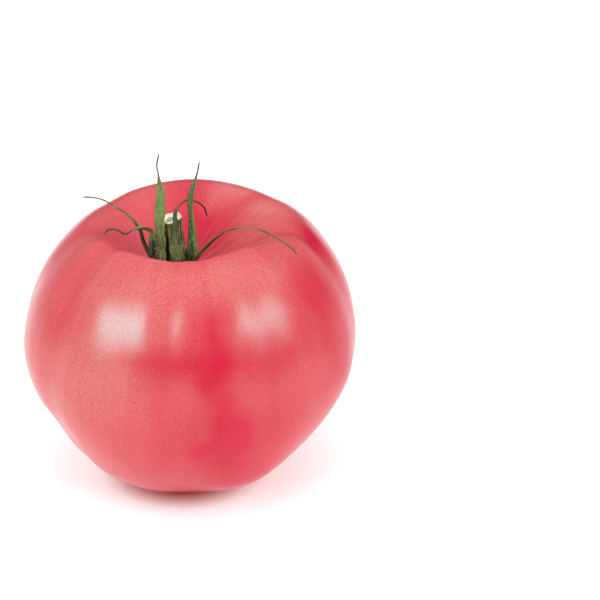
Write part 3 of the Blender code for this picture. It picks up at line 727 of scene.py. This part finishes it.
def stem_surface(base):
    """The stub: rings up its outline, ridged and furrowed along, then the slanting cut's face,
    which dips towards a core that stands a little proud again."""
    up = np.linspace(0, 1, STEM_ROWS)
    radius = along(STEM_OUTLINE, up)[:, None]
    turn = np.radians(np.linspace(0, 360, STEM_COLUMNS, endpoint=False))[None, :]
    ridges = STEM_RIDGE_SHARE * np.cos(STEM_RIDGES * turn)
    heights = up[:, None] * STEM_HEIGHT
    wander = FURROW_WANDER * np.sin(heights / 3.1 + 2 * turn)
    furrows = FURROWS[0] * np.cos(17 * turn + 3 * np.sin(2 * turn) + wander)
    furrows = furrows + FURROWS[1] * np.cos(29 * turn - 2 * wander)
    radius = radius * (1 + ridges + furrows * ease(up * 6)[:, None])
    rim = np.stack((radius * np.sin(turn), -radius * np.cos(turn)), axis=-1)
    level = heights + STEM_CUT_SLOPE * rim[..., 0] * up[:, None] ** 3
    lean = np.array((STEM_LEAN, 0.0)) * up[:, None, None]
    body = np.concatenate((rim + lean, level[..., None]), axis=-1)
    inward = np.linspace(0, 0.97, CUT_ROWS)[:, None, None]
    middle = body[-1].mean(axis=0)
    face = body[-1] * (1 - inward) + middle * inward
    away = 1 - inward[..., 0]
    dip = -CUT_DIP * ease((1 - away) * 3.2) + CORE_RISE * ease((0.45 - away) * 5)
    torn = TORN_HEIGHT * waves(face, TORN_SEED, TORN_WAVES, TORN_LENGTHS)
    torn = torn * ease((1 - away) * 5)
    face = face + np.stack((0 * torn, 0 * torn, dip + torn), axis=-1)
    rings = np.concatenate((body, face[1:])) + base
    on_face = np.ones(CUT_ROWS - 1)
    cut = np.concatenate((ease((up - 0.965) * 40), on_face))[:, None] + 0 * turn
    ring = np.concatenate((np.ones(STEM_ROWS), away[1:, 0]))[:, None] + 0 * turn
    core = 0.8 * ease((0.55 - ring) * 6)
    ridge = 0.55 * np.clip(ridges / STEM_RIDGE_SHARE, 0, 1) ** 3 * (1 - cut)
    grain = np.stack((rings[..., 0] * 1.6, rings[..., 1] * 1.6, rings[..., 2] * 0.16), axis=-1)
    # Painted shade: the stub darkens towards its foot
    above = np.concatenate((0.25 + 0.75 * ease(up / 0.5), on_face))[:, None] + 0 * cut
    return closed_tube(rings, {
        "cut": cut, "core": core, "ridge": ridge * above, "above": above, "grain": grain})


COLOUR_LIMITS = {"size": 4, "subtype": "COLOR", "min": 0.0, "max": 1.0}


class TomatoFruit(bpy.types.PropertyGroup):
    """Sizes and colours of the fruit."""
    width: bpy.props.FloatProperty(
        name="Width", description="Width of the widest ring", default=99.8 * MM, unit="LENGTH")
    depth: bpy.props.FloatProperty(
        name="Depth", description="Depth of the widest ring, front to back", default=96.6 * MM,
        unit="LENGTH")
    widest_height: bpy.props.FloatProperty(
        name="Height of widest ring", description="How high the widest ring is above the table",
        default=44.6 * MM, unit="LENGTH")
    seat_height: bpy.props.FloatProperty(
        name="Seat height", description="How high the floor of the stem basin is", default=70.8 * MM,
        unit="LENGTH")
    seat_radius: bpy.props.FloatProperty(
        name="Seat radius", description="Radius of the flat floor of the stem basin",
        default=7.0 * MM, unit="LENGTH")
    ripe_colour: bpy.props.FloatVectorProperty(
        name="Ripe skin", description="Main colour of the skin",
        default=hex_colour("#c4173a"), **COLOUR_LIMITS)
    deep_colour: bpy.props.FloatVectorProperty(
        name="Deep skin", description="Reddest skin, in mottles",
        default=hex_colour("#c00c33"), **COLOUR_LIMITS)
    # Pale skin is also the colour of the painted reflections
    pale_colour: bpy.props.FloatVectorProperty(
        name="Pale skin", description="Skin under the thickest waxy bloom",
        default=hex_colour("#d26e6c"), **COLOUR_LIMITS)


class TomatoCalyx(bpy.types.PropertyGroup):
    """Colours of the calyx."""
    fresh_colour: bpy.props.FloatVectorProperty(
        name="Fresh leaf", description="Lightest green of the sepals",
        default=hex_colour("#788a46"), **COLOUR_LIMITS)
    # The deep leaf colour is also the colour of the painted shade on the sepals
    deep_colour: bpy.props.FloatVectorProperty(
        name="Deep leaf", description="Darkest green of the sepals",
        default=hex_colour("#2a2e06"), **COLOUR_LIMITS)
    dry_colour: bpy.props.FloatVectorProperty(
        name="Withered leaf", description="Brown of dried tips and threads",
        default=hex_colour("#7c6a48"), **COLOUR_LIMITS)


class TomatoStem(bpy.types.PropertyGroup):
    """Colours of the stem stub."""
    bark_colour: bpy.props.FloatVectorProperty(
        name="Bark", description="Green of the stalk's bark",
        default=hex_colour("#8a8638"), **COLOUR_LIMITS)
    streak_colour: bpy.props.FloatVectorProperty(
        name="Streaks", description="Brown of the streaks in the bark",
        default=hex_colour("#1c1404"), **COLOUR_LIMITS)
    cut_colour: bpy.props.FloatVectorProperty(
        name="Cut", description="Pale wood of the cut face",
        default=hex_colour("#f8f4e4"), **COLOUR_LIMITS)


class TomatoStage(bpy.types.PropertyGroup):
    """Camera and light of the stage."""
    distance: bpy.props.FloatProperty(
        name="Camera distance", description="From the camera to what it looks at", default=0.72,
        unit="LENGTH")
    elevation: bpy.props.FloatProperty(
        name="Camera elevation", description="How far above level the camera looks from",
        default=math.radians(30.0), subtype="ANGLE")
    lens: bpy.props.FloatProperty(
        name="Lens", description="Focal length in millimetres", default=144.3)
    surround: bpy.props.FloatProperty(
        name="Surround", description="Strength of the white light from all round", default=0.63)
    glow: bpy.props.FloatProperty(
        name="Table glow", description="Strength of the light that comes through the white table",
        default=0.33)
    light: bpy.props.FloatProperty(
        name="Boxes", description="Strength of the soft boxes, a share of their watts", default=1.0)


class TOMATO_OT_fruit(bpy.types.Operator):
    """Grow the ribbed fruit with its stem basin, flat spot and blossom scar"""
    bl_idname = "tomato.fruit"
    bl_label = "Grow the fruit"

    def execute(self, context):
        fruit = context.scene.tomato_fruit
        add_piece("fruit_skin", fruit_surface(fruit), skin_material(fruit), "fruit")
        return {"FINISHED"}


class TOMATO_OT_calyx(bpy.types.Operator):
    """Grow the calyx: its disc and the seven sepals"""
    bl_idname = "tomato.calyx"
    bl_label = "Grow the calyx"

    def execute(self, context):
        base = np.append(SEAT_CENTRE, context.scene.tomato_fruit.seat_height / MM + CONTACT_GAP)
        leaf = sepal_material(context.scene.tomato_calyx)
        add_piece("calyx_disc", disc_surface(base), leaf, "calyx")
        blades = joined([sepal_surface(sepal, i, base) for i, sepal in enumerate(SEPALS)])
        add_piece("sepals", blades, leaf, "calyx")
        return {"FINISHED"}


class TOMATO_OT_stem(bpy.types.Operator):
    """Cut the stub of the stalk that stands on the calyx"""
    bl_idname = "tomato.stem"
    bl_label = "Grow the stem stub"

    def execute(self, context):
        rise = context.scene.tomato_fruit.seat_height / MM + 2 * CONTACT_GAP + DISC_THICKNESS
        base = np.append(SEAT_CENTRE, rise)
        look = bark_material(context.scene.tomato_stem)
        add_piece("stem_stub", stem_surface(base), look, "stem")
        return {"FINISHED"}


# Soft boxes: name, direction towards the box, distance, width and height in metres, its roll in
# degrees, and the watts that light the scene and those that only show as a reflection
SoftBox = namedtuple("SoftBox", "name towards distance width height roll watts glint")
SOFT_BOXES = (
    SoftBox("left_box", (-0.67, -0.57, 0.48), 1.0, 0.75, 0.47, 22.0, 4.0, 36.0),
    SoftBox("right_box", (0.71, -0.51, 0.45), 1.0, 0.72, 0.36, -34.0, 4.5, 17.5),
    SoftBox("top_box", (0.0, 0.0, 1.0), 1.1, 1.3, 1.2, 0.0, 5.4, 7.0),
)
# The boxes' light is white, and their reflections have little red, as the skin has plenty
WHITE, COOL_WHITE = (1.0, 1.0, 1.0), (0.1, 1.0, 0.92)
LIGHT_AIM = Vector((0.0, 0.004, 0.045))
# Table: half its width in metres, and how far it lies under the fruit so that they don't touch
TABLE_REACH, TABLE_DROP = 4.0, 0.02 * MM
TABLE_COLOUR = "#f7f6f6"
TABLE_SHEEN = {"Roughness": 0.9, "Specular IOR Level": 0.1}
# Painted shadow of the fruit on the table, where it also glows less and a little red as painted red
# light from the fruit: from its dark middle to its edge, in millimetres
SHADE_RADII = (13.0, 28.0)
SHADE_GLOW = (0.5, 0.02, 0.01, 1.0)
SHADE_COLOUR = "#9c4c46"
# The far part of the table, in metres, measured after a stretch and a shift
FAR_RADII = (0.45, 1.3)
FAR_SCALE, FAR_SHIFT = (2.6, 1.0, 1.0), (-0.094, -0.13, 0.0)
FAR_GLOW = (0.2, 0.2, 0.2, 1.0)
FAR_COLOUR = "#cfcfcf"
# Surround: the heights between which it brightens, as sines of the angle above level, and its
# shares of the set strength there
SKY_HEIGHTS, SKY_SHARES = (0.1, 0.6), (0.5, 1.25)
# Dark ends of the room, behind the camera and low behind the fruit: the way towards each, the
# cosines of the angles from it where it starts to dim and is darkest, and the share of light left
DarkEnd = namedtuple("DarkEnd", "towards start darkest left")
DARK_ENDS = (
    DarkEnd((0.15, -0.94, 0.3), 0.6, 0.95, 0.1),
    DarkEnd((0.25, 0.92, -0.3), 0.5, 0.85, 0.2),
)


class TOMATO_OT_stage(bpy.types.Operator):
    """Set up the pale floor, the soft boxes, the white surround and the camera"""
    bl_idname = "tomato.stage"
    bl_label = "Set up the stage"

    def execute(self, context):
        stage = context.scene.tomato_stage
        self.floor(context, stage)
        for box in SOFT_BOXES:
            self.soft_box(context, box, stage.light)
        self.surround(context, stage.surround)
        self.camera(context, stage)
        context.scene.view_settings.view_transform = "Standard"
        return {"FINISHED"}

    def floor(self, context, stage):
        """One square of matt white paper, which looks soft and even because it also glows, with a
        painted shadow round the fruit.
        """
        material, add, shader = blank_material("matt_white_paper")
        # The table glows white all round, and less and a little red in the painted shadow round the
        # fruit, as painted red light from the fruit
        place = add("TexCoord")["Object"]
        away = add("VectorMath", {"operation": "LENGTH"}, {0: place})["Value"]
        share = add("MapRange", SMOOTH, {
            "Value": away, "From Min": SHADE_RADII[0] * MM,
            "From Max": SHADE_RADII[1] * MM})["Result"]
        glow = add("Mix", COLOURS, {FACTOR: share, FIRST: SHADE_GLOW, SECOND: WHITE_COLOUR})[MIXED]
        # Beyond the picture the table is dim, so the sides of the fruit mirror less of it
        wide = add("VectorMath", {"operation": "MULTIPLY_ADD"}, {
            0: place, 1: FAR_SCALE, 2: FAR_SHIFT})["Vector"]
        away = add("VectorMath", {"operation": "LENGTH"}, {0: wide})["Value"]
        far = add("MapRange", SMOOTH, {
            "Value": away, "From Min": FAR_RADII[0], "From Max": FAR_RADII[1]})["Result"]
        glow = add("Mix", COLOURS, {FACTOR: far, FIRST: glow, SECOND: FAR_GLOW})[MIXED]
        # Painted shadow: the paper is darker and redder round the fruit
        paper = add("Mix", COLOURS, {
            FACTOR: share, FIRST: hex_colour(SHADE_COLOUR),
            SECOND: hex_colour(TABLE_COLOUR)})[MIXED]
        paper = add("Mix", COLOURS, {
            FACTOR: far, FIRST: paper, SECOND: hex_colour(FAR_COLOUR)})[MIXED]
        set_inputs(shader, {
            "Base Color": paper, "Emission Color": glow, "Emission Strength": stage.glow,
            **TABLE_SHEEN})
        mesh = bpy.data.meshes.new("floor")
        corners = [(x * TABLE_REACH, y * TABLE_REACH, -TABLE_DROP)
                   for x, y in ((-1, -1), (1, -1), (1, 1), (-1, 1))]
        mesh.from_pydata(corners, [], [(0, 1, 2, 3)])
        mesh.materials.append(material)
        floor = bpy.data.objects.new("floor", mesh)
        context.scene.collection.objects.link(floor)

    def soft_box(self, context, box, strength):
        """Each box is two lamps in one place: one for its light and one for its reflection."""
        towards = Vector(box.towards).normalized()
        for part, watts, colour, glossy in (("light", box.watts, WHITE, False),
                                            ("glint", box.glint, COOL_WHITE, True)):
            light = bpy.data.lights.new(f"{box.name}_{part}", "AREA")
            light.shape = "RECTANGLE"
            light.size, light.size_y = box.width, box.height
            light.energy = watts * strength
            light.color = colour
            lamp = bpy.data.objects.new(light.name, light)
            lamp.location = LIGHT_AIM + towards * box.distance
            roll = Quaternion((0.0, 0.0, 1.0), math.radians(box.roll))
            lamp.rotation_euler = (towards.to_track_quat("Z", "Y") @ roll).to_euler()
            lamp.visible_glossy = glossy
            lamp.visible_diffuse = not glossy
            context.scene.collection.objects.link(lamp)

    def surround(self, context, strength):
        """White light from all round, brighter from above than from the level, with dark ends."""
        world = context.scene.world or bpy.data.worlds.new("white_surround")
        context.scene.world = world
        world.use_nodes = True
        tree = world.node_tree
        add = partial(add_node, tree)
        way = add("TexCoord")["Generated"]
        height = add("SeparateXYZ", None, {"Vector": way})["Z"]
        share = add("MapRange", None, {
            "Value": height, "From Min": SKY_HEIGHTS[0], "From Max": SKY_HEIGHTS[1],
            "To Min": SKY_SHARES[0] * strength, "To Max": SKY_SHARES[1] * strength})["Result"]
        for end in DARK_ENDS:
            facing = add("VectorMath", {"operation": "DOT_PRODUCT"}, {
                0: way, 1: end.towards})["Value"]
            dark = add("MapRange", SMOOTH, {
                "Value": facing, "From Min": end.start, "From Max": end.darkest, "To Min": 1.0,
                "To Max": end.left})["Result"]
            share = add("Math", {"operation": "MULTIPLY"}, {0: share, 1: dark})[0]
        set_inputs(tree.nodes["Background"], {"Color": WHITE_COLOUR, "Strength": share})

    def camera(self, context, stage):
        """The camera stands in front, at its distance and elevation from what it looks at."""
        lens = bpy.data.cameras.new("camera")
        lens.lens = stage.lens
        lens.sensor_width = CAMERA_SENSOR
        camera = bpy.data.objects.new("camera", lens)
        away = Vector((0.0, -math.cos(stage.elevation), math.sin(stage.elevation)))
        camera.location = CAMERA_AIM + away * stage.distance
        camera.rotation_euler = (math.pi / 2 - stage.elevation, 0.0, 0.0)
        context.scene.collection.objects.link(camera)
        context.scene.camera = camera


class TOMATO_PT_sidebar(bpy.types.Panel):
    """Settings of each piece over the button that makes it"""
    bl_idname = "TOMATO_PT_sidebar"
    bl_label = "Pink tomato"
    bl_space_type = "VIEW_3D"
    bl_region_type = "UI"
    bl_category = "Tomato"

    def draw(self, context):
        for name, (_, operator) in STEPS.items():
            settings = getattr(context.scene, name)
            box = self.layout.box()
            for field in settings.__annotations__:
                box.prop(settings, field)
            box.operator(operator.bl_idname)


# Settings on the scene, their class and the operator that uses them
STEPS = {
    "tomato_fruit": (TomatoFruit, TOMATO_OT_fruit),
    "tomato_calyx": (TomatoCalyx, TOMATO_OT_calyx),
    "tomato_stem": (TomatoStem, TOMATO_OT_stem),
    "tomato_stage": (TomatoStage, TOMATO_OT_stage),
}
CLASSES = [made for pair in STEPS.values() for made in pair] + [TOMATO_PT_sidebar]


def register():
    """Register the classes, and hang the settings on the scene."""
    for made in CLASSES:
        bpy.utils.register_class(made)
    for name, (group, _) in STEPS.items():
        setattr(bpy.types.Scene, name, bpy.props.PointerProperty(type=group))


def unregister():
    """Undo register, in reverse."""
    for name in STEPS:
        delattr(bpy.types.Scene, name)
    for made in reversed(CLASSES):
        bpy.utils.unregister_class(made)


def main():
    register()
    bpy.ops.tomato.fruit()
    bpy.ops.tomato.calyx()
    bpy.ops.tomato.stem()
    bpy.ops.tomato.stage()
    bpy.context.view_layer.update()


if __name__ == "__main__":
    main()
